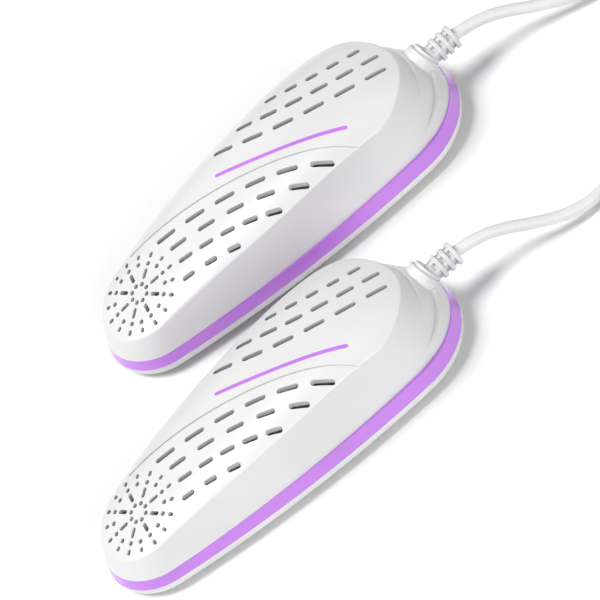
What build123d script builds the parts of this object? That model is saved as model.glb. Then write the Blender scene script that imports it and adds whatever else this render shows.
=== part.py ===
"""A pair of electric boot dryers on one mains plug, in millimetres.

Each dryer is an egg-shaped plastic case that slides into a boot. It is drawn in its own frame:
X runs from the toe (0) to the heel (LENGTH), Y to the left, Z up from the table. The two equal
dryers are then set down side by side, staggered along X, with the origin on the table in the
middle of the pair. Each has its own lead; both leads end in one plug.
"""
import os
from math import cos, pi, radians, sin, sqrt, tan

from build123d import *

os.makedirs("parts", exist_ok=True)

# ---- driving dimensions: the case --------------------------------------------------------------
LENGTH = 156.0  # toe to heel along the widest line of the case
SEAM = 6.0  # height of that line, where the two half shells meet
WALL = 2.2
STAGGER, SPACING = 56.3, 81.6  # from the near dryer to the far one, along X and along Y

# Outlines in plan: (toe x, heel x, toe radius, heel radius, side radius)
BASE = (0.0, LENGTH, 20.3, 30.4, 453.0)
FLANK_FOOT = (1.2, 152.2, 19.3, 28.0, 453.0)  # at BAND_RISE above the seam
SHOULDER = (8.4, 143.4, 16.1, 25.3, 435.0)  # at SHOULDER_RISE above the seam
BAND_RISE, SHOULDER_RISE = 5.0, 25.0
FLANK_FROM, FLANK_TO = 4.0, 34.0  # rises between which the flank is drawn before it is cut
CREASE_ROUND = 1.2

# Trim band round the seam, lower at the toe than at the heel
BAND_TOE, BAND_HEEL = 4.3, 5.7
BAND_SLOPE = (BAND_HEEL - BAND_TOE) / LENGTH
BAND_LEAN = 0.24  # inwards for each millimetre up
BAND_THICK = 1.5
SKIRT_INSET = 2.7  # outer face of the upper shell's skirt, behind the band
SKIRT_THICK = 1.3

# Crowned pad on top: stations along X as (x, crest, fall at the edge, half width), above the seam
PAD_STATIONS = (
    (-10, 6.0, 1.5, 17.5),
    (4, 11.7, 1.8, 17.5),
    (21, 18.2, 2.1, 17.6),
    (40, 23.0, 3.2, 20.3),
    (60, 26.6, 4.3, 22.6),
    (80, 29.35, 5.0, 24.0),
    (105, 30.85, 5.1, 25.0),
    (125, 29.35, 5.1, 25.2),
    (142, 25.05, 5.1, 25.4),
    (162, 17.45, 5.1, 25.6),
)
PAD_POINTS = 9  # points across each station

# Crescent steps at the heel: (rise, heel x at the foot, heel x on top, radius on top, crown radius)
STEPS = ((10.8, 154.8, 152.0, 26.0, 300.0), (18.9, 152.8, 147.2, 23.6, 67.0))
STEP_ROUND = 0.9
STEP_TOE, STEP_TAPER = 12.0, 7.0  # the steps' toe end, inside the case: its x, and how much narrower
STEP_UNDER = 0.6  # and how far it stays below the pad

# Air outlets: rows of slots along arcs, as (start, middle, end, number, slot length)
SLOT_WIDTH = 2.0
SLOT_ROWS = (
    ((101.7, 17.9), (117.4, 12.0), (133.9, 9.6), 5, 5.1),
    ((88.2, 17.0), (111.3, 6.2), (136.3, 2.2), 6, 7.1),
    ((76.9, 15.8), (104.1, 0.9), (134.0, -5.5), 6, 8.4),
    ((41.4, 7.3), (70.9, -4.7), (97.6, -21.7), 6, 8.4),
    ((42.4, 0.2), (65.1, -9.3), (86.2, -21.6), 5, 7.3),
    ((40.8, -6.9), (57.5, -13.6), (73.7, -21.4), 5, 6.1),
    ((37.0, -13.5), (46.1, -16.4), (55.0, -19.6), 3, 5.3),
)
GROOVE = ((28.2, 16.0), (69.0, 2.2), (110.7, -25.7))
GROOVE_WIDTH, GROOVE_DEPTH = 0.9, 0.7
INLAY = ((69.0, 8.6), (92.3, -5.6), (112.4, -17.7))
INLAY_WIDTH, INLAY_DEPTH = 1.6, 0.9

# Starburst of small outlets at the toe: places along each arm in units of STAR_UNIT
STAR_X, STAR_RISE, STAR_TILT = 20.8, 18.1, 20.0
STAR_UNIT = 14.8
STAR_ARMS, STAR_TURN = 8, -15.0
STAR_DOT, STAR_SLOT = 1.8, 1.5
MAIN_DOTS, MAIN_SLOTS = (0.235, 0.77), ((0.37, 0.64), (0.92, 1.07))
MINOR_DOTS, MINOR_SLOTS = (0.77,), ((0.92, 1.05),)

# ---- driving dimensions: inside and under the case ---------------------------------------------
# Screw posts between the half shells
POSTS = ((STAR_X, 0.0), (58.0, 14.5), (124.0, 17.5), (122.0, -15.0))
POST_RADIUS, BOSS_RADIUS, POST_SPLIT = 2.5, 3.4, 9.0
SHANK_RADIUS, HEAD_RADIUS, HEAD_HEIGHT = 1.3, 2.5, 1.5
SCREW_TOP = 17.0

FLOOR_AT, FLOOR_THICK, FLOOR_ROUND = 1.0, 2.0, 4.2  # underside of the lower shell above the table
LOWER_INSET = 2.4
TONGUE_INSET, TONGUE_THICK, TONGUE_TOP = 4.15, 1.2, 8.0
FEET = ((36.0, 12.0), (136.0, 15.0))  # and the same across the middle line
FOOT_RADIUS, FOOT_SEAT, FOOT_ROUND = 4.5, 0.8, 0.4
INTAKES, INTAKE_PITCH, INTAKE_SIZE = (8, 2), (7.0, 16.0), (11.0, 2.2)

# Heater on the lower shell: sheet, contact strip, chips and finned plate, one on the other
HEATER_X = 76.0
SHEET, SHEET_AT = (68.0, 20.0, 0.8), 10.0
CONTACT = (58.0, 9.0, 0.4)
CHIP, CHIP_PITCH, CHIPS = (15.0, 12.0, 2.4), 17.0, 3
PLATE = (64.0, 19.0, 1.2)
FIN, FIN_PITCH, FINS = (48.0, 0.8, 6.0), 2.9, 7
HEATER_SCREW_X, HEATER_SCREW_RADIUS, PILLAR_RADIUS = 29.0, 1.2, 2.6
CONTACT_AT = SHEET_AT + SHEET[2]
CHIP_AT = CONTACT_AT + CONTACT[2]
PLATE_AT = CHIP_AT + CHIP[2]
PLATE_TOP = PLATE_AT + PLATE[2]

# Cord, its strain relief in the heel and its clamp inside
CORD = 4.5
AXIS = SEAM + 10.6  # height of the relief's axis
FLANGE_X, FLANGE_LIFT, FLANGE_TILT = 151.3, 1.6, 18.0  # its seat leans with the heel
FLANGE_RADIUS, FLANGE_THICK = 6.5, 2.0
HUB_RADIUS, HUB_THICK = 5.2, 1.2
NECK_RADIUS, NECK_FROM, RELIEF_END = 3.8, 143.6, 165.6
COLLAR_RADIUS, COLLAR_THICK = 5.0, 1.6  # inner collar behind the heel wall
RINGS, RING_PITCH, RING_RADIUS, RING_THICK = 3, 3.4, 4.75, 1.8
WINDOWS, WINDOW_WIDE, WINDOW_FLOOR = 6, 2.4, 2.7  # between the rings, down to this radius
CLAMP_X, CLAMP = 139.0, (5.0, 16.0, 2.6)
CLAMP_SCREW_Y, CLAMP_SCREW_RADIUS = 5.3, 1.0
STUB_FROM = 134.0
FUSE = (117.0, -4.5, 12.5)
FUSE_RADIUS, FUSE_LENGTH = 2.0, 12.0
WIRE_RADIUS, WIRE_BEND = 0.7, 1.6

# ---- driving dimensions: leads, coils and plug, in the pair's frame ----------------------------
LAYER = CORD + 0.1  # one turn beside or on the next
COIL_BASE = 0.6  # the ties lift the coils off the table by their own thickness
COIL_ACROSS, COIL_LAYERS = 4, 2  # a spiral of three turns in each layer sweeps four places
COIL_ROUND = 2.0
TIE_WIDTH, TIE_THICK = 4.0, 0.5
# Each coil: middle, mean radius of its turns, and the bearing from its middle to its tie
COILS = {"far": ((187.0, 52.0), 27.0, 60.0), "near": ((144.0, -77.0), 25.0, -60.0)}

LEADS = {
    "far": (
        (115.75, 40.8, 16.6),
        (125.0, 40.0, 15.8),
        (135.0, 37.0, 12.7),
        (144.7, 32.3, 8.5),
        (155.2, 27.7, 5.3),
        (166.0, 23.6, 3.2),
        (175.4, 20.1, 2.9),
    ),
    "near": (
        (59.45, -40.8, 16.6),
        (68.7, -41.6, 15.8),
        (78.7, -44.6, 12.7),
        (88.4, -49.3, 8.5),
        (98.6, -52.8, 5.1),
        (109.5, -53.6, 3.1),
        (120.3, -51.2, 2.6),
        (130.6, -47.5, 2.7),
        (140.7, -45.3, 2.9),
    ),
}
TAILS = {
    "far": (
        (187.0, 18.1, 7.5),
        (196.3, 16.9, 7.0),
        (205.0, 13.4, 5.7),
        (213.0, 8.3, 5.2),
        (221.7, 4.8, 5.9),
        (231.0, 3.6, 6.85),
    ),
    "near": (
        (144.0, -45.1, 7.5),
        (158.2, -43.2, 6.2),
        (171.5, -37.6, 4.0),
        (182.8, -28.8, 2.6),
        (192.2, -17.9, 2.5),
        (203.5, -9.1, 3.0),
        (216.8, -3.5, 4.7),
        (231.0, -1.6, 6.85),
    ),
}

# Two-pin plug: its rear, its middle line and its height, then its own sizes
PLUG_REAR, PLUG_Y, PLUG_Z = 231.0, 1.0, 6.85
PLUG_WIDE, PLUG_THICK = 35.3, 13.7
NECK_LONG, NECK_SIZE, NECK_FRONT = 20.0, (11.4, 6.8), (16.0, 11.0)
PLUG_LONG = 20.0
PIN_APART, PIN_RADIUS, PIN_LONG = 19.0, 2.0, 19.0
SLEEVE_LONG, SLEEVE_RADIUS, SLEEVE_THICK = 10.0, 1.8, 0.4
PIN_SEAT = 12.0


RELIEF = Plane((0, 0, AXIS), x_dir=(0, 1, 0), z_dir=(1, 0, 0))
SEAT = Plane(
    (FLANGE_X, 0, AXIS + FLANGE_LIFT),
    x_dir=(0, 1, 0),
    z_dir=(cos(radians(FLANGE_TILT)), 0, sin(radians(FLANGE_TILT))),
)


# ---- shared shapes -----------------------------------------------------------------------------
def inset(outline, gap):
    """The outline moved inwards by gap."""
    toe_x, heel_x, toe_r, heel_r, side_r = outline
    return (toe_x + gap, heel_x - gap, toe_r - gap, heel_r - gap, side_r - gap)


def egg(outline, height):
    """An egg of four tangent arcs: toe, two long sides and heel, lying at a height."""
    toe_x, heel_x, toe_r, heel_r, side_r = outline
    toe_c, heel_c = Vector(toe_x + toe_r, 0), Vector(heel_x - heel_r, 0)
    apart = heel_c.X - toe_c.X
    along = ((side_r - toe_r) ** 2 - (side_r - heel_r) ** 2 + apart**2) / (2 * apart)
    side_c = Vector(toe_c.X + along, -sqrt((side_r - toe_r) ** 2 - along**2))
    left_toe = side_c + (toe_c - side_c).normalized() * side_r
    left_heel = side_c + (heel_c - side_c).normalized() * side_r
    left_side = side_c + Vector(0, side_r)
    right_toe, right_heel, right_side = (
        Vector(point.X, -point.Y) for point in (left_toe, left_heel, left_side)
    )
    with BuildSketch(Plane.XY.offset(height)) as face:
        with BuildLine():
            ThreePointArc(right_toe, (toe_x, 0), left_toe)
            ThreePointArc(left_toe, left_side, left_heel)
            ThreePointArc(left_heel, (heel_x, 0), right_heel)
            ThreePointArc(right_heel, right_side, right_toe)
        make_face()
    return face.sketch


def under_crown(drop):
    """Everything below the crowned pad's surface, lowered by drop."""
    sections = []
    for x, crest, fall, half in PAD_STATIONS:
        wide, top = 1.5 * half, SEAM + crest - drop
        across = [wide * (2 * i / (PAD_POINTS - 1) - 1) for i in range(PAD_POINTS)]
        with BuildSketch(Plane.YZ.offset(x)) as section:
            with BuildLine():
                over = Spline(*[(y, top - fall * abs(y / half) ** 4) for y in across])
                Polyline(over @ 1, (wide, -60), (-wide, -60), over @ 0)
            make_face()
        sections.append(section.sketch)
    with BuildPart() as block:
        loft(sections)
    return block.part


def flank(gap):
    """The tapered flank from the band to above the crown, moved inwards by gap."""
    sections = []
    for rise in (FLANK_FROM, FLANK_TO):
        share = (rise - BAND_RISE) / (SHOULDER_RISE - BAND_RISE)
        outline = tuple(low + (high - low) * share for low, high in zip(FLANK_FOOT, SHOULDER))
        sections.append(egg(inset(outline, gap), SEAM + rise))
    with BuildPart() as body:
        loft(sections)
    return body.part


def over_band():
    """Everything above the trim band's sloping top edge."""
    with BuildPart() as block:
        with BuildSketch(Plane.XZ) as side:
            with BuildLine():
                Polyline(
                    (-20, SEAM + BAND_TOE - 20 * BAND_SLOPE),
                    (180, SEAM + BAND_TOE + 180 * BAND_SLOPE),
                    (180, 60),
                    (-20, 60),
                    close=True,
                )
            make_face()
        extrude(amount=50, both=True)
    return block.part


def heel_step(rise, foot_x, top_x, radius, crown_radius):
    """One crescent step: a tapered body that stands out of the flank at the heel only."""
    lean = (foot_x - top_x) / (rise - BAND_RISE)
    grow = lean * (rise - FLANK_FROM)
    top = (STEP_TOE, top_x, radius - STEP_TAPER, radius, BASE[4])
    foot = (STEP_TOE, top_x + grow, radius - STEP_TAPER, radius + grow / 2, BASE[4])
    with BuildPart() as body:
        loft([egg(foot, SEAM + FLANK_FROM), egg(top, SEAM + rise)])
        with BuildSketch(Plane.YZ):
            with Locations((0, SEAM + rise - crown_radius)):
                Circle(crown_radius)
        extrude(amount=LENGTH + 20, mode=Mode.INTERSECT)
        fillet(body.faces().sort_by(Axis.Z)[-1].edges(), radius=STEP_ROUND)
        add(under_crown(STEP_UNDER), mode=Mode.INTERSECT)
    return body.part


def strip(arc, width, depth):
    """A narrow strip along an arc in plan, in the pad's surface down to a depth."""
    with BuildPart() as body:
        with BuildSketch():
            with BuildLine() as line:
                ThreePointArc(*arc)
            SlotArc(line.edge(), width)
        extrude(amount=60)
        add(CROWN, mode=Mode.INTERSECT)
        add(under_crown(depth), mode=Mode.SUBTRACT)
    return body.part


def disc(plane, radius, start, end):
    """A disc about a plane's normal, between two distances along it."""
    with BuildPart() as body:
        with BuildSketch(plane.offset(start)):
            Circle(radius)
        extrude(amount=end - start)
    return body.part


def column(radius, low, high, mode=Mode.ADD):
    """An upright cylinder at each current location, between two heights."""
    with Locations((0, 0, low)):
        Cylinder(radius, high - low, align=(Align.CENTER, Align.CENTER, Align.MIN), mode=mode)


def slab(size, height):
    """A flat plate over the heater's middle, resting at a height."""
    with Locations((HEATER_X, 0, height)):
        Box(*size, align=(Align.CENTER, Align.CENTER, Align.MIN))


def cross_recess(places, height, depth):
    """A cross-shaped driver recess in each screw head, sunk from a height."""
    with Locations(*[(x, y, height - depth / 2) for x, y in places]):
        for turn in (0, 90):
            Box(0.5, 2.2, abs(depth), rotation=(0, 0, turn), mode=Mode.SUBTRACT)


def wires(*routes):
    """Thin insulated wires, each along straight runs joined by arcs."""
    with BuildPart() as bundle:
        for route in routes:
            with BuildLine() as path:
                FilletPolyline(*route, radius=WIRE_BEND)
            with BuildSketch(Plane(origin=path.line @ 0, z_dir=path.line % 0)):
                Circle(WIRE_RADIUS)
            sweep(path=path.line)
    return bundle


def bends(route):
    """The largest arc that fits at each inner point of a route."""
    points = [Vector(*point) for point in route]
    runs = [end - start for start, end in zip(points, points[1:])]
    return [
        0.45 * min(one.length, two.length) / tan(radians(one.get_angle(two)) / 2)
        for one, two in zip(runs, runs[1:])
    ]


def cord_tube(name, route):
    """A lead's solid along its route, as straight runs joined by arcs."""
    radii = bends(route)
    with BuildPart() as tube:
        with BuildLine() as path:
            FilletPolyline(*route, radius=radii)
        with BuildSketch(Plane(origin=path.line @ 0, z_dir=path.line % 0)):
            Circle(CORD / 2)
        sweep(path=path.line)
    length = path.wire().length
    share = tube.part.volume / (pi * (CORD / 2) ** 2 * length)
    print(f"{name}: {length:.1f} long, volume share {share:.4f}, radii", [round(r, 1) for r in radii])
    return tube


CROWN = under_crown(0.0)
ABOVE_BAND = over_band()


def coil_section(plane, grow):
    """The rounded outline of the bundle of turns, grown by a margin."""
    with BuildSketch(plane) as section:
        with Locations((0, COIL_BASE + COIL_LAYERS * LAYER / 2)):
            RectangleRounded(
                COIL_ACROSS * LAYER + 2 * grow,
                COIL_LAYERS * LAYER + 2 * grow,
                COIL_ROUND + grow,
            )
    return section.sketch


def coil_solid(middle, radius):
    """The outer shape of a round coil of turns, lying flat."""
    plane = Plane((middle[0] + radius, middle[1], 0), x_dir=(1, 0, 0), z_dir=(0, -1, 0))
    with BuildPart() as ring:
        revolve(coil_section(plane, 0.0), axis=Axis((*middle, 0), (0, 0, 1)))
    return ring.part


def tie_solid(middle, radius, bearing):
    """A flat tie wrapped once round the bundle."""
    out = Vector(cos(radians(bearing)), sin(radians(bearing)))
    across = Vector(out.Y, -out.X)
    place = Vector(*middle) + out * radius - across * (TIE_WIDTH / 2)
    plane = Plane(place, x_dir=out, z_dir=across)
    with BuildPart() as band:
        extrude(coil_section(plane, TIE_THICK), amount=TIE_WIDTH)
        extrude(coil_section(plane, 0.0), amount=TIE_WIDTH, mode=Mode.SUBTRACT)
    return band.part


# ---- upper shell -------------------------------------------------------------------------------
with BuildPart() as trim_band:
    band_top = BAND_HEEL + 1.0
    loft([egg(BASE, SEAM), egg(inset(BASE, BAND_LEAN * band_top), SEAM + band_top)])
    extrude(egg(inset(BASE, SKIRT_INSET), SEAM), amount=band_top, mode=Mode.SUBTRACT)
    add(ABOVE_BAND, mode=Mode.SUBTRACT)

inlay = strip(INLAY, INLAY_WIDTH, INLAY_DEPTH)

with BuildPart() as cavity:
    add(flank(WALL))
    add(under_crown(WALL), mode=Mode.INTERSECT)
    extrude(egg(inset(BASE, SKIRT_INSET + SKIRT_THICK), SEAM), amount=BAND_TOE + 0.4)

with BuildPart() as star:
    star_plane = Plane((STAR_X, 0, SEAM + STAR_RISE)).rotated((0, -STAR_TILT, 0))
    with BuildSketch(star_plane):
        for turn, dots, slots in (
            (STAR_TURN, MAIN_DOTS, MAIN_SLOTS),
            (STAR_TURN + 180 / STAR_ARMS, MINOR_DOTS, MINOR_SLOTS),
        ):
            for place in dots:
                with PolarLocations(place * STAR_UNIT, STAR_ARMS, turn):
                    Circle(STAR_DOT / 2)
            for start, end in slots:
                with PolarLocations((start + end) / 2 * STAR_UNIT, STAR_ARMS, turn):
                    SlotOverall((end - start) * STAR_UNIT, STAR_SLOT)
    extrude(amount=6, both=True)

with BuildPart() as slots:
    for start, middle, end, number, length in SLOT_ROWS:
        with BuildLine() as row:
            ThreePointArc(start, middle, end)
        with BuildSketch(Plane.XY.offset(SEAM + 8)):
            for i in range(number):
                place = row.edge().position_at(i / (number - 1))
                turn = row.edge().tangent_angle_at(i / (number - 1))
                with Locations(Location((place.X, place.Y), turn)):
                    SlotOverall(length, SLOT_WIDTH)
        extrude(amount=40)

with BuildPart() as upper_shell:
    add(flank(0.0))
    add(CROWN, mode=Mode.INTERSECT)
    fillet(upper_shell.faces().sort_by(Axis.Z)[-1].edges(), radius=CREASE_ROUND)
    for step in STEPS:
        add(heel_step(*step))
    add(ABOVE_BAND, mode=Mode.INTERSECT)
    extrude(egg(inset(BASE, SKIRT_INSET), SEAM), amount=BAND_HEEL + 0.2)
    add(disc(SEAT, FLANGE_RADIUS, -10, 0))
    add(cavity.part, mode=Mode.SUBTRACT)
    add(star.part, mode=Mode.SUBTRACT)
    add(slots.part, mode=Mode.SUBTRACT)
    add(strip(GROOVE, GROOVE_WIDTH, GROOVE_DEPTH), mode=Mode.SUBTRACT)
    add(inlay, mode=Mode.SUBTRACT)
    add(disc(SEAT, FLANGE_RADIUS, 0, 10), mode=Mode.SUBTRACT)
    add(disc(RELIEF, NECK_RADIUS, NECK_FROM, RELIEF_END), mode=Mode.SUBTRACT)

with BuildPart() as posts:
    with Locations(*POSTS):
        column(POST_RADIUS, POST_SPLIT, 60)
    add(under_crown(WALL / 2), mode=Mode.INTERSECT)
    with Locations(*POSTS):
        column(SHANK_RADIUS, POST_SPLIT, SCREW_TOP, mode=Mode.SUBTRACT)

with BuildPart() as upper_case:
    add(upper_shell.part)
    add(posts.part)

# ---- lower shell, its screws and feet ----------------------------------------------------------
FEET_ALL = [(x, side * y) for x, y in FEET for side in (1, -1)]
PILLARS = [(HEATER_X + side * HEATER_SCREW_X, 0.0) for side in (1, -1)]
CLAMP_SCREWS = [(CLAMP_X, side * CLAMP_SCREW_Y) for side in (1, -1)]
FLOOR_TOP = FLOOR_AT + FLOOR_THICK

with BuildPart() as lower_shell:
    extrude(egg(BASE, FLOOR_AT), amount=SEAM - FLOOR_AT)
    fillet(lower_shell.faces().sort_by(Axis.Z)[0].edges(), radius=FLOOR_ROUND)
    extrude(egg(inset(BASE, LOWER_INSET), FLOOR_TOP), amount=SEAM, mode=Mode.SUBTRACT)
    extrude(egg(inset(BASE, TONGUE_INSET), FLOOR_TOP - 0.5), amount=TONGUE_TOP - FLOOR_TOP + 0.5)
    extrude(
        egg(inset(BASE, TONGUE_INSET + TONGUE_THICK), FLOOR_TOP),
        amount=TONGUE_TOP,
        mode=Mode.SUBTRACT,
    )
    with Locations(*POSTS):
        column(BOSS_RADIUS, FLOOR_TOP - 0.5, POST_SPLIT)
    with Locations(*PILLARS):
        column(PILLAR_RADIUS, FLOOR_TOP - 0.5, SHEET_AT)
    with Locations((CLAMP_X, 0, FLOOR_TOP - 0.5)):
        Box(
            CLAMP[0],
            CLAMP[1],
            AXIS - FLOOR_TOP + 0.5,
            align=(Align.CENTER, Align.CENTER, Align.MIN),
        )
    with Locations(*POSTS):
        column(SHANK_RADIUS, 0, POST_SPLIT, mode=Mode.SUBTRACT)
        column(HEAD_RADIUS, 0, FLOOR_AT + HEAD_HEIGHT, mode=Mode.SUBTRACT)
    with Locations(*PILLARS):
        column(HEATER_SCREW_RADIUS, FLOOR_TOP + 1, SHEET_AT, mode=Mode.SUBTRACT)
    with Locations(*CLAMP_SCREWS):
        column(CLAMP_SCREW_RADIUS, FLOOR_TOP + 3, AXIS, mode=Mode.SUBTRACT)
    with Locations(*FEET_ALL):
        column(FOOT_RADIUS, 0, FLOOR_AT + FOOT_SEAT, mode=Mode.SUBTRACT)
    with BuildSketch(Plane.XY):
        with Locations((HEATER_X, 0)):
            with GridLocations(INTAKE_PITCH[0], INTAKE_PITCH[1], *INTAKES):
                SlotOverall(INTAKE_SIZE[0], INTAKE_SIZE[1], rotation=90)
    extrude(amount=FLOOR_TOP, mode=Mode.SUBTRACT)
    add(disc(RELIEF, CORD / 2, CLAMP_X - 10, CLAMP_X + 10), mode=Mode.SUBTRACT)

with BuildPart() as case_screws:
    with Locations(*POSTS):
        column(SHANK_RADIUS, FLOOR_AT + HEAD_HEIGHT, SCREW_TOP)
        column(HEAD_RADIUS, FLOOR_AT + 0.3, FLOOR_AT + HEAD_HEIGHT)
    cross_recess(POSTS, FLOOR_AT + 0.3, -0.9)

with BuildPart() as rubber_feet:
    with Locations(*FEET_ALL):
        column(FOOT_RADIUS, 0, FLOOR_AT + FOOT_SEAT)
    fillet(rubber_feet.edges().group_by(Axis.Z)[0], radius=FOOT_ROUND)

# ---- heater ------------------------------------------------------------------------------------
with BuildPart() as insulator_sheet:
    slab(SHEET, SHEET_AT)
    with Locations(*PILLARS):
        column(HEATER_SCREW_RADIUS, SHEET_AT, CONTACT_AT, mode=Mode.SUBTRACT)

with BuildPart() as contact_strip:
    slab(CONTACT, CONTACT_AT)
    with Locations(*PILLARS):
        column(HEATER_SCREW_RADIUS + 1, CONTACT_AT, CHIP_AT, mode=Mode.SUBTRACT)

with BuildPart() as ptc_chips:
    with Locations((HEATER_X, 0, CHIP_AT)):
        with GridLocations(CHIP_PITCH, 1, CHIPS, 1):
            Box(*CHIP, align=(Align.CENTER, Align.CENTER, Align.MIN))

with BuildPart() as heater_plate:
    slab(PLATE, PLATE_AT)
    with Locations((HEATER_X, 0, PLATE_TOP)):
        with GridLocations(1, FIN_PITCH, 1, FINS):
            Box(*FIN, align=(Align.CENTER, Align.CENTER, Align.MIN))
    with Locations(*PILLARS):
        column(HEATER_SCREW_RADIUS, PLATE_AT, PLATE_TOP, mode=Mode.SUBTRACT)

with BuildPart() as heater_screws:
    with Locations(*PILLARS):
        column(HEATER_SCREW_RADIUS, FLOOR_TOP + 1, PLATE_TOP)
        column(HEATER_SCREW_RADIUS * 2, PLATE_TOP, PLATE_TOP + HEAD_HEIGHT)
    cross_recess(PILLARS, PLATE_TOP + HEAD_HEIGHT, 0.8)

with BuildPart() as thermal_fuse:
    with BuildSketch(Plane.YZ.offset(FUSE[0] - FUSE_LENGTH / 2)):
        with Locations((FUSE[1], FUSE[2])):
            Circle(FUSE_RADIUS)
    extrude(amount=FUSE_LENGTH)
    fillet(thermal_fuse.edges().filter_by(GeomType.CIRCLE), radius=0.6)

# ---- strain relief, clamp and inner wiring -----------------------------------------------------
with BuildPart() as strain_relief:
    add(disc(SEAT, FLANGE_RADIUS, 0, FLANGE_THICK))
    fillet(strain_relief.faces().sort_by(Axis.X)[-1].edges(), radius=0.7)
    add(disc(SEAT, HUB_RADIUS, 0, FLANGE_THICK + HUB_THICK))
    add(disc(RELIEF, NECK_RADIUS, NECK_FROM, RELIEF_END))
    add(disc(RELIEF, COLLAR_RADIUS, NECK_FROM, NECK_FROM + COLLAR_THICK))
    ends = [RELIEF_END - i * RING_PITCH for i in range(RINGS)]
    for end in ends:
        add(disc(RELIEF, RING_RADIUS, end - RING_THICK, end))
    rims = strain_relief.edges().filter_by(GeomType.CIRCLE)
    fillet(rims.filter_by(lambda rim: abs(rim.radius - RING_RADIUS) < 0.01), radius=0.5)
    for end in ends:
        gap = RING_PITCH - RING_THICK
        with Locations(RELIEF.offset(end - RING_THICK - gap / 2)):
            with PolarLocations(WINDOW_FLOOR, WINDOWS):
                Box(
                    RING_RADIUS,
                    WINDOW_WIDE,
                    gap,
                    align=(Align.MIN, Align.CENTER, Align.CENTER),
                    mode=Mode.SUBTRACT,
                )

with BuildPart() as cord_stub:
    add(disc(RELIEF, CORD / 2, STUB_FROM, NECK_FROM))

with BuildPart() as cord_clamp:
    with Locations((CLAMP_X, 0, AXIS)):
        Box(*CLAMP, align=(Align.CENTER, Align.CENTER, Align.MIN))
    fillet(cord_clamp.edges().filter_by(Axis.Z), radius=1.0)
    add(disc(RELIEF, CORD / 2, CLAMP_X - 10, CLAMP_X + 10), mode=Mode.SUBTRACT)
    with Locations(*CLAMP_SCREWS):
        column(CLAMP_SCREW_RADIUS, AXIS, AXIS + CLAMP[2], mode=Mode.SUBTRACT)

with BuildPart() as clamp_screws:
    with Locations(*CLAMP_SCREWS):
        column(CLAMP_SCREW_RADIUS, FLOOR_TOP + 3, AXIS + CLAMP[2])
        column(CLAMP_SCREW_RADIUS * 2, AXIS + CLAMP[2], AXIS + CLAMP[2] + 1.2)
    cross_recess(CLAMP_SCREWS, AXIS + CLAMP[2] + 1.2, 0.7)

fuse_x, fuse_y, fuse_z = FUSE
tab_x = HEATER_X + CONTACT[0] / 2
inner_wires = wires(
    (
        (STUB_FROM, -1.0, AXIS),
        (STUB_FROM - 5, -1.0, AXIS),
        (fuse_x + FUSE_LENGTH / 2 + 5, fuse_y, fuse_z),
        (fuse_x + FUSE_LENGTH / 2, fuse_y, fuse_z),
    ),
    (
        (fuse_x - FUSE_LENGTH / 2, fuse_y, fuse_z),
        (tab_x + 2.2, fuse_y + 0.3, fuse_z),
        (tab_x, -3.0, CHIP_AT + WIRE_RADIUS),
    ),
    (
        (STUB_FROM, 1.0, AXIS),
        (STUB_FROM - 7, 1.0, AXIS + 1),
        (tab_x + 12, 5.5, PLATE_TOP + 3),
        (tab_x + 2, 5.5, PLATE_TOP + WIRE_RADIUS),
    ),
)

# ---- leads, coils, ties and plug ---------------------------------------------------------------
leads = {side: cord_tube(side + " lead", route) for side, route in LEADS.items()}
tails = {side: cord_tube(side + " tail", route) for side, route in TAILS.items()}


coils = {side: coil_solid(middle, radius) for side, (middle, radius, _) in COILS.items()}
ties = {side: tie_solid(*coil) for side, coil in COILS.items()}

neck_front = PLUG_REAR + NECK_LONG
face_x = neck_front + PLUG_LONG
pin_places = [(PLUG_Y + side * PIN_APART / 2, PLUG_Z) for side in (1, -1)]

with BuildPart() as plug_body:
    sections = []
    for x, (wide, thick) in ((PLUG_REAR, NECK_SIZE), (neck_front, NECK_FRONT)):
        with BuildSketch(Plane.YZ.offset(x)) as section:
            with Locations((PLUG_Y, PLUG_Z)):
                RectangleRounded(wide, thick, thick / 2 - 0.1)
        sections.append(section.sketch)
    loft(sections)
    with BuildSketch(Plane.XY.offset(PLUG_Z - PLUG_THICK / 2)):
        with BuildLine():
            half, neck = PLUG_WIDE / 2, NECK_FRONT[0] / 2
            Polyline(
                (neck_front - 4, PLUG_Y + neck),
                (neck_front + 7, PLUG_Y + half),
                (face_x, PLUG_Y + half),
                (face_x, PLUG_Y - half),
                (neck_front + 7, PLUG_Y - half),
                (neck_front - 4, PLUG_Y - neck),
                close=True,
            )
        make_face()
    extrude(amount=PLUG_THICK)
    shoulders = plug_body.edges().filter_by(Axis.Z).group_by(Axis.X)[1]
    fillet(shoulders, radius=5.0)
    fillet(plug_body.faces().sort_by(Axis.Z)[-1].edges(), radius=2.4)
    fillet(plug_body.faces().sort_by(Axis.Z)[0].edges(), radius=2.4)
    with BuildSketch(Plane.YZ.offset(face_x)):
        with Locations(*pin_places):
            Circle(SLEEVE_RADIUS)
    extrude(amount=-PIN_SEAT, mode=Mode.SUBTRACT)

with BuildPart() as pin_sleeves:
    with BuildSketch(Plane.YZ.offset(face_x - PIN_SEAT)):
        with Locations(*pin_places):
            Circle(SLEEVE_RADIUS)
            Circle(SLEEVE_RADIUS - SLEEVE_THICK, mode=Mode.SUBTRACT)
    extrude(amount=PIN_SEAT + SLEEVE_LONG)

with BuildPart() as plug_pins:
    with BuildSketch(Plane.YZ.offset(face_x - PIN_SEAT)):
        with Locations(*pin_places):
            Circle(SLEEVE_RADIUS - SLEEVE_THICK)
    extrude(amount=PIN_SEAT + SLEEVE_LONG)
    with BuildSketch(Plane.YZ.offset(face_x + SLEEVE_LONG)):
        with Locations(*pin_places):
            Circle(PIN_RADIUS)
    extrude(amount=PIN_LONG - SLEEVE_LONG)
    fillet(plug_pins.edges().group_by(Axis.X)[-1], radius=PIN_RADIUS * 0.6)

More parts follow.
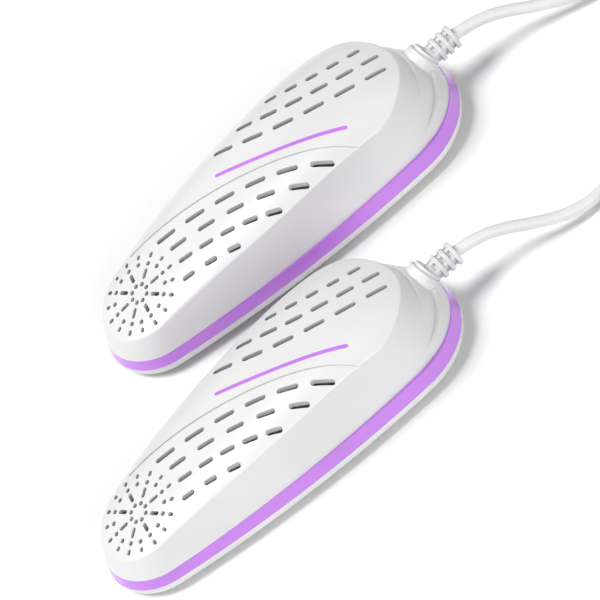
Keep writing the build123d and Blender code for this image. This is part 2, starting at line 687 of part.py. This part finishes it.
# ---- the two dryers and what they share --------------------------------------------------------
DRYER = {
    "upper_shell": upper_case.part,
    "lower_shell": lower_shell.part,
    "trim_band": trim_band.part,
    "inlay_strip": inlay,
    "case_screws": case_screws.part,
    "rubber_feet": rubber_feet.part,
    "insulator_sheet": insulator_sheet.part,
    "contact_strip": contact_strip.part,
    "ptc_chips": ptc_chips.part,
    "heater_plate": heater_plate.part,
    "heater_screws": heater_screws.part,
    "thermal_fuse": thermal_fuse.part,
    "inner_wires": inner_wires.part,
    "cord_stub": cord_stub.part,
    "cord_clamp": cord_clamp.part,
    "clamp_screws": clamp_screws.part,
    "strain_relief": strain_relief.part,
}
PIECES = {"plug_body": plug_body.part, "pin_sleeves": pin_sleeves.part, "plug_pins": plug_pins.part}
PLACES = {
    "far": Location((STAGGER / 2 - LENGTH / 2, SPACING / 2, 0)),
    "near": Location((-STAGGER / 2 - LENGTH / 2, -SPACING / 2, 0)),
}
for side, place in PLACES.items():
    for name, piece in DRYER.items():
        PIECES[f"{side}_{name}"] = piece.moved(place)
    PIECES[f"{side}_lead"] = leads[side].part
    PIECES[f"{side}_tail"] = tails[side].part
    PIECES[f"{side}_coil"] = coils[side]
    PIECES[f"{side}_tie"] = ties[side]

for name, piece in PIECES.items():
    piece.label = name
    export_step(piece, f"parts/{name}.step")
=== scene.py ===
"""Looks for the pair of boot dryers, in metres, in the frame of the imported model."""
from math import cos, radians, sin

import bpy
from mathutils import Matrix, Vector


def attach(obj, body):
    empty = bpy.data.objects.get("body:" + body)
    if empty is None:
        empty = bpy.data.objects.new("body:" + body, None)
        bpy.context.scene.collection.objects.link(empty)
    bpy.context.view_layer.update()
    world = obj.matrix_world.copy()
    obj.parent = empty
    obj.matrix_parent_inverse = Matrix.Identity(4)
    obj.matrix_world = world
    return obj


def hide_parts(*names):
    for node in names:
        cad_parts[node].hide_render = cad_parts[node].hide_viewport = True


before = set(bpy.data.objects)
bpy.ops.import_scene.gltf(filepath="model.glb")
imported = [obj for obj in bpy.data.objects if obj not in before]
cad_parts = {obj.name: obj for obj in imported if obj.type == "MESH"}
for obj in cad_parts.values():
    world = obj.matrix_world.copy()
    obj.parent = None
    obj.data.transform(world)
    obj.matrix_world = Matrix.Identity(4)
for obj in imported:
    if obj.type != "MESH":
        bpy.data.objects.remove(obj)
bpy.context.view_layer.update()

SIDES = ("far", "near")
BODY = "dryer_pair"
CORD = 0.0045
LAYER = 0.0046  # from one turn of a coil to the turn beside or above it

# ---- leads: the routes of part.py, in metres ---------------------------------------------------
LEADS = {
    "far": (
        (0.11575, 0.0408, 0.0166),
        (0.1250, 0.0400, 0.0158),
        (0.1350, 0.0370, 0.0127),
        (0.1447, 0.0323, 0.0085),
        (0.1552, 0.0277, 0.0053),
        (0.1660, 0.0236, 0.0032),
        (0.1754, 0.0201, 0.0029),
    ),
    "near": (
        (0.05945, -0.0408, 0.0166),
        (0.0687, -0.0416, 0.0158),
        (0.0787, -0.0446, 0.0127),
        (0.0884, -0.0493, 0.0085),
        (0.0986, -0.0528, 0.0051),
        (0.1095, -0.0536, 0.0031),
        (0.1203, -0.0512, 0.0026),
        (0.1306, -0.0475, 0.0027),
        (0.1407, -0.0453, 0.0029),
    ),
}
TAILS = {
    "far": (
        (0.1870, 0.0181, 0.0075),
        (0.1963, 0.0169, 0.0070),
        (0.2050, 0.0134, 0.0057),
        (0.2130, 0.0083, 0.0052),
        (0.2217, 0.0048, 0.0059),
        (0.2310, 0.0036, 0.00685),
    ),
    "near": (
        (0.1440, -0.0451, 0.0075),
        (0.1582, -0.0432, 0.0062),
        (0.1715, -0.0376, 0.0040),
        (0.1828, -0.0288, 0.0026),
        (0.1922, -0.0179, 0.0025),
        (0.2035, -0.0091, 0.0030),
        (0.2168, -0.0035, 0.0047),
        (0.2310, -0.0016, 0.00685),
    ),
}
# Each coil: middle, mean radius, the bearings where the lead comes in and goes out, and its sense
# of turning seen from above (1 is anticlockwise)
COILS = {
    "far": ((0.187, 0.052), 0.027, 250.0, 270.0, 1),
    "near": ((0.144, -0.077), 0.025, 96.0, 90.0, -1),
}
LAYER_TURNS, LAYERS = 3, 2
TURN_POINTS = 16
COIL_LOW = 0.0029  # height of the lower layer's centreline
RISE_TURNS = 0.12  # share of a turn in which the cord climbs to the upper layer


# ---- materials ---------------------------------------------------------------------------------
MIDDLE_NOISE = (0.3, 0.7)  # the part of a noise field that holds nearly all of its values
TONE_STEPS = (0.35, 0.65)  # noise values at which a colour is fully dark and fully light
GRAIN_STRENGTH = 0.6


def node(tree, kind, **values):
    """A shader node with its named properties set."""
    made = tree.nodes.new(kind)
    for name, value in values.items():
        setattr(made, name, value)
    return made


def noise(tree, scale, detail=2.0):
    """A noise field in the object's own space, with features 1 / scale metres across."""
    place = node(tree, "ShaderNodeTexCoord")
    field = node(tree, "ShaderNodeTexNoise")
    field.inputs["Scale"].default_value = scale
    field.inputs["Detail"].default_value = detail
    tree.links.new(place.outputs["Object"], field.inputs["Vector"])
    return field.outputs["Fac"]


def spread(tree, value, low, high):
    """A 0 to 1 field mapped to a range."""
    mapped = node(tree, "ShaderNodeMapRange")
    mapped.inputs["From Min"].default_value = MIDDLE_NOISE[0]
    mapped.inputs["From Max"].default_value = MIDDLE_NOISE[1]
    mapped.inputs["To Min"].default_value = low
    mapped.inputs["To Max"].default_value = high
    tree.links.new(value, mapped.inputs["Value"])
    return mapped.outputs["Result"]


def two_tone(tree, value, dark, light):
    """A colour that drifts between two close tones with a field."""
    ramp = node(tree, "ShaderNodeValToRGB")
    ramp.color_ramp.elements[0].position = TONE_STEPS[0]
    ramp.color_ramp.elements[1].position = TONE_STEPS[1]
    ramp.color_ramp.elements[0].color = (*dark, 1)
    ramp.color_ramp.elements[1].color = (*light, 1)
    tree.links.new(value, ramp.inputs["Fac"])
    return ramp.outputs["Color"]


def material(name, dark, light, rough, drift=60, grain=1500, depth=0.00002, **fixed):
    """A procedural surface: two close tones, roughness that varies and a fine moulded grain."""
    made = bpy.data.materials.new(name)
    made.use_nodes = True
    tree = made.node_tree
    shader = tree.nodes["Principled BSDF"]
    for socket, value in fixed.items():
        shader.inputs[socket.replace("_", " ")].default_value = value
    tree.links.new(two_tone(tree, noise(tree, drift), dark, light), shader.inputs["Base Color"])
    tree.links.new(spread(tree, noise(tree, 3 * drift), *rough), shader.inputs["Roughness"])
    bump = node(tree, "ShaderNodeBump")
    bump.inputs["Strength"].default_value = GRAIN_STRENGTH
    bump.inputs["Distance"].default_value = depth
    tree.links.new(noise(tree, grain), bump.inputs["Height"])
    tree.links.new(bump.outputs["Normal"], shader.inputs["Normal"])
    return made


SHELL = material(
    "shell_white", (0.72, 0.72, 0.72), (0.75, 0.75, 0.75), (0.30, 0.38), drift=25, grain=900,
    depth=0.00001, Coat_Weight=0.25, Coat_Roughness=0.25, Specular_IOR_Level=0.5,
)
LOWER = material(
    "lower_white", (0.72, 0.72, 0.71), (0.76, 0.76, 0.75), (0.26, 0.34), drift=25, grain=900,
    depth=0.00001, Subsurface_Weight=0.15, Subsurface_Scale=0.004,
)
TRIM = material(
    "trim_purple", (0.52, 0.19, 0.76), (0.57, 0.21, 0.81), (0.18, 0.26), drift=30, grain=1200,
    depth=0.00001, Coat_Weight=0.6, Coat_Roughness=0.1,
)
RELIEF = material("relief_white", (0.66, 0.66, 0.67), (0.71, 0.71, 0.72), (0.38, 0.5), drift=120)
LEAD = material("cord_white", (0.70, 0.70, 0.70), (0.75, 0.75, 0.75), (0.36, 0.46), drift=90)
PLUG = material("plug_white", (0.71, 0.71, 0.70), (0.76, 0.76, 0.75), (0.34, 0.46), drift=60)
TIE = material("tie_white", (0.68, 0.68, 0.67), (0.73, 0.73, 0.72), (0.4, 0.5), drift=200)
RUBBER = material("foot_rubber", (0.42, 0.42, 0.43), (0.50, 0.50, 0.51), (0.7, 0.85), grain=2500)
STEEL = material(
    "screw_steel", (0.42, 0.42, 0.43), (0.55, 0.55, 0.56), (0.25, 0.4), grain=4000, Metallic=1.0
)
ALUMINIUM = material(
    "heater_aluminium", (0.62, 0.63, 0.64), (0.72, 0.73, 0.74), (0.3, 0.45), grain=3000, Metallic=1.0
)
BRASS = material("contact_brass", (0.62, 0.45, 0.20), (0.72, 0.54, 0.26), (0.25, 0.4), Metallic=1.0)
NICKEL = material("pin_metal", (0.66, 0.65, 0.62), (0.74, 0.73, 0.70), (0.15, 0.25), Metallic=1.0)
MICA = material("insulator", (0.36, 0.26, 0.13), (0.50, 0.38, 0.20), (0.45, 0.6), drift=300)
CERAMIC = material("ceramic", (0.10, 0.10, 0.11), (0.16, 0.16, 0.17), (0.6, 0.75), drift=400)
BLACK = material("sleeve_black", (0.015, 0.015, 0.016), (0.03, 0.03, 0.032), (0.35, 0.5))
WIRE = material("wire_insulation", (0.62, 0.58, 0.50), (0.70, 0.66, 0.58), (0.5, 0.6), drift=200)

NODE_MATERIALS = {
    "upper_shell": SHELL,
    "lower_shell": LOWER,
    "trim_band": TRIM,
    "inlay_strip": TRIM,
    "case_screws": STEEL,
    "rubber_feet": RUBBER,
    "insulator_sheet": MICA,
    "contact_strip": BRASS,
    "ptc_chips": CERAMIC,
    "heater_plate": ALUMINIUM,
    "heater_screws": STEEL,
    "thermal_fuse": ALUMINIUM,
    "inner_wires": WIRE,
    "cord_stub": LEAD,
    "cord_clamp": PLUG,
    "clamp_screws": STEEL,
    "strain_relief": RELIEF,
    "tie": TIE,
    "plug_body": PLUG,
    "pin_sleeves": BLACK,
    "plug_pins": NICKEL,
}
for name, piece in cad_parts.items():
    kind = name.removeprefix("far_").removeprefix("near_")
    if kind in NODE_MATERIALS:
        piece.data.materials.clear()
        piece.data.materials.append(NODE_MATERIALS[kind])


# ---- leads -------------------------------------------------------------------------------------
def coil_points(middle, radius, enter, leave, way):
    """The coil's turns: a spiral inwards on the table, a climb, and a spiral outwards on top."""
    extra = (leave - enter) * way / 360
    upper_turns = LAYER_TURNS + extra
    total = LAYER_TURNS + upper_turns
    outer = radius + LAYER_TURNS * LAYER / 2
    inner = radius - LAYER_TURNS * LAYER / 2
    count = round(total * TURN_POINTS)
    points = []
    for i in range(1, count):
        turns = total * i / count
        climb = min(max((turns - LAYER_TURNS + RISE_TURNS) / RISE_TURNS, 0), 1)
        if turns <= LAYER_TURNS:
            out = outer - (outer - inner) * turns / LAYER_TURNS
        else:
            out = inner + (outer - inner) * (turns - LAYER_TURNS) / upper_turns
        bearing = radians(enter + way * 360 * turns)
        points.append(
            (
                middle[0] + out * cos(bearing),
                middle[1] + out * sin(bearing),
                COIL_LOW + LAYER * climb,
            )
        )
    return points


def lead_curve(name, points):
    """A round cord along a smooth curve with these control points."""
    curve = bpy.data.curves.new(name, "CURVE")
    curve.dimensions = "3D"
    curve.bevel_depth = CORD / 2
    curve.bevel_resolution = 6
    curve.resolution_u = 6
    curve.use_fill_caps = True
    spline = curve.splines.new("NURBS")
    spline.points.add(len(points) - 1)
    for spot, point in zip(spline.points, points):
        spot.co = (*point, 1)
    spline.order_u = 3
    spline.use_endpoint_u = True
    piece = bpy.data.objects.new(name, curve)
    bpy.context.collection.objects.link(piece)
    curve.materials.append(LEAD)
    return piece


for side in SIDES:
    points = (*LEADS[side], *coil_points(*COILS[side]), *TAILS[side])
    lead = lead_curve(f"{side}_flex", points)
    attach(lead, BODY)
    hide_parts(f"{side}_lead", f"{side}_coil", f"{side}_tail")
    on_it = [f"{side}_strain_relief", f"{side}_tie"]
    if side == "far":
        on_it += ["plug_body", "pin_sleeves", "plug_pins"]

# ---- floor, light and camera -------------------------------------------------------------------
FLOOR_HALF = 6.0
WORLD_STRENGTH = 0.14

floor_data = bpy.data.meshes.new("floor")
floor_data.from_pydata(
    [(x * FLOOR_HALF, y * FLOOR_HALF, 0) for x, y in ((-1, -1), (1, -1), (1, 1), (-1, 1))],
    [],
    [(0, 1, 2, 3)],
)
floor = bpy.data.objects.new("floor", floor_data)
bpy.context.collection.objects.link(floor)
floor_data.materials.append(
    material("floor_pale", (0.90, 0.90, 0.90), (0.93, 0.93, 0.93), (0.6, 0.7), drift=3, depth=0.0)
)


def wide_lamp(name, direction, strength, spread_angle):
    """A broad, even light from far off, where the direction points from the object to the lamp."""
    data = bpy.data.lights.new(name, "SUN")
    data.energy = strength
    data.angle = radians(spread_angle)
    lamp = bpy.data.objects.new(name, data)
    bpy.context.collection.objects.link(lamp)
    lamp.rotation_euler = Vector(direction).to_track_quat("Z", "Y").to_euler()


wide_lamp("top_lamp", (-0.42, 0.22, 0.88), 3.1, 30)
wide_lamp("front_lamp", (0.1, -0.88, 0.44), 1.55, 40)

world = bpy.data.worlds.new("studio")
bpy.context.scene.world = world
world.use_nodes = True
world.node_tree.nodes["Background"].inputs["Color"].default_value = (1, 1, 1, 1)
world.node_tree.nodes["Background"].inputs["Strength"].default_value = WORLD_STRENGTH

AZIMUTH, ELEVATION, ROLL = radians(-7.3), radians(44.6), radians(-36.4)
FRAME_WIDTH = 0.211  # width of the view at the object
DISTANCE = 8.0  # far off, so that the two dryers look equally large
SENSOR = 36  # in millimetres, as the lens is
AIM = Vector((0.0092, -0.0088, 0.0179))

back = Vector((sin(AZIMUTH) * cos(ELEVATION), -cos(AZIMUTH) * cos(ELEVATION), sin(ELEVATION)))
level = Vector((cos(AZIMUTH), sin(AZIMUTH), 0))
turn = Matrix.Rotation(ROLL, 3, back)
right = turn @ level
up = turn @ back.cross(level)
camera_data = bpy.data.cameras.new("camera")
camera_data.sensor_width = SENSOR
camera_data.lens = SENSOR * DISTANCE / FRAME_WIDTH
camera_data.clip_end = 2.5 * DISTANCE
camera = bpy.data.objects.new("camera", camera_data)
bpy.context.collection.objects.link(camera)
facing = Matrix((right, up, back)).transposed().to_4x4()
camera.matrix_world = Matrix.Translation(AIM + back * DISTANCE) @ facing
bpy.context.scene.camera = camera
bpy.context.scene.view_settings.view_transform = "Standard"
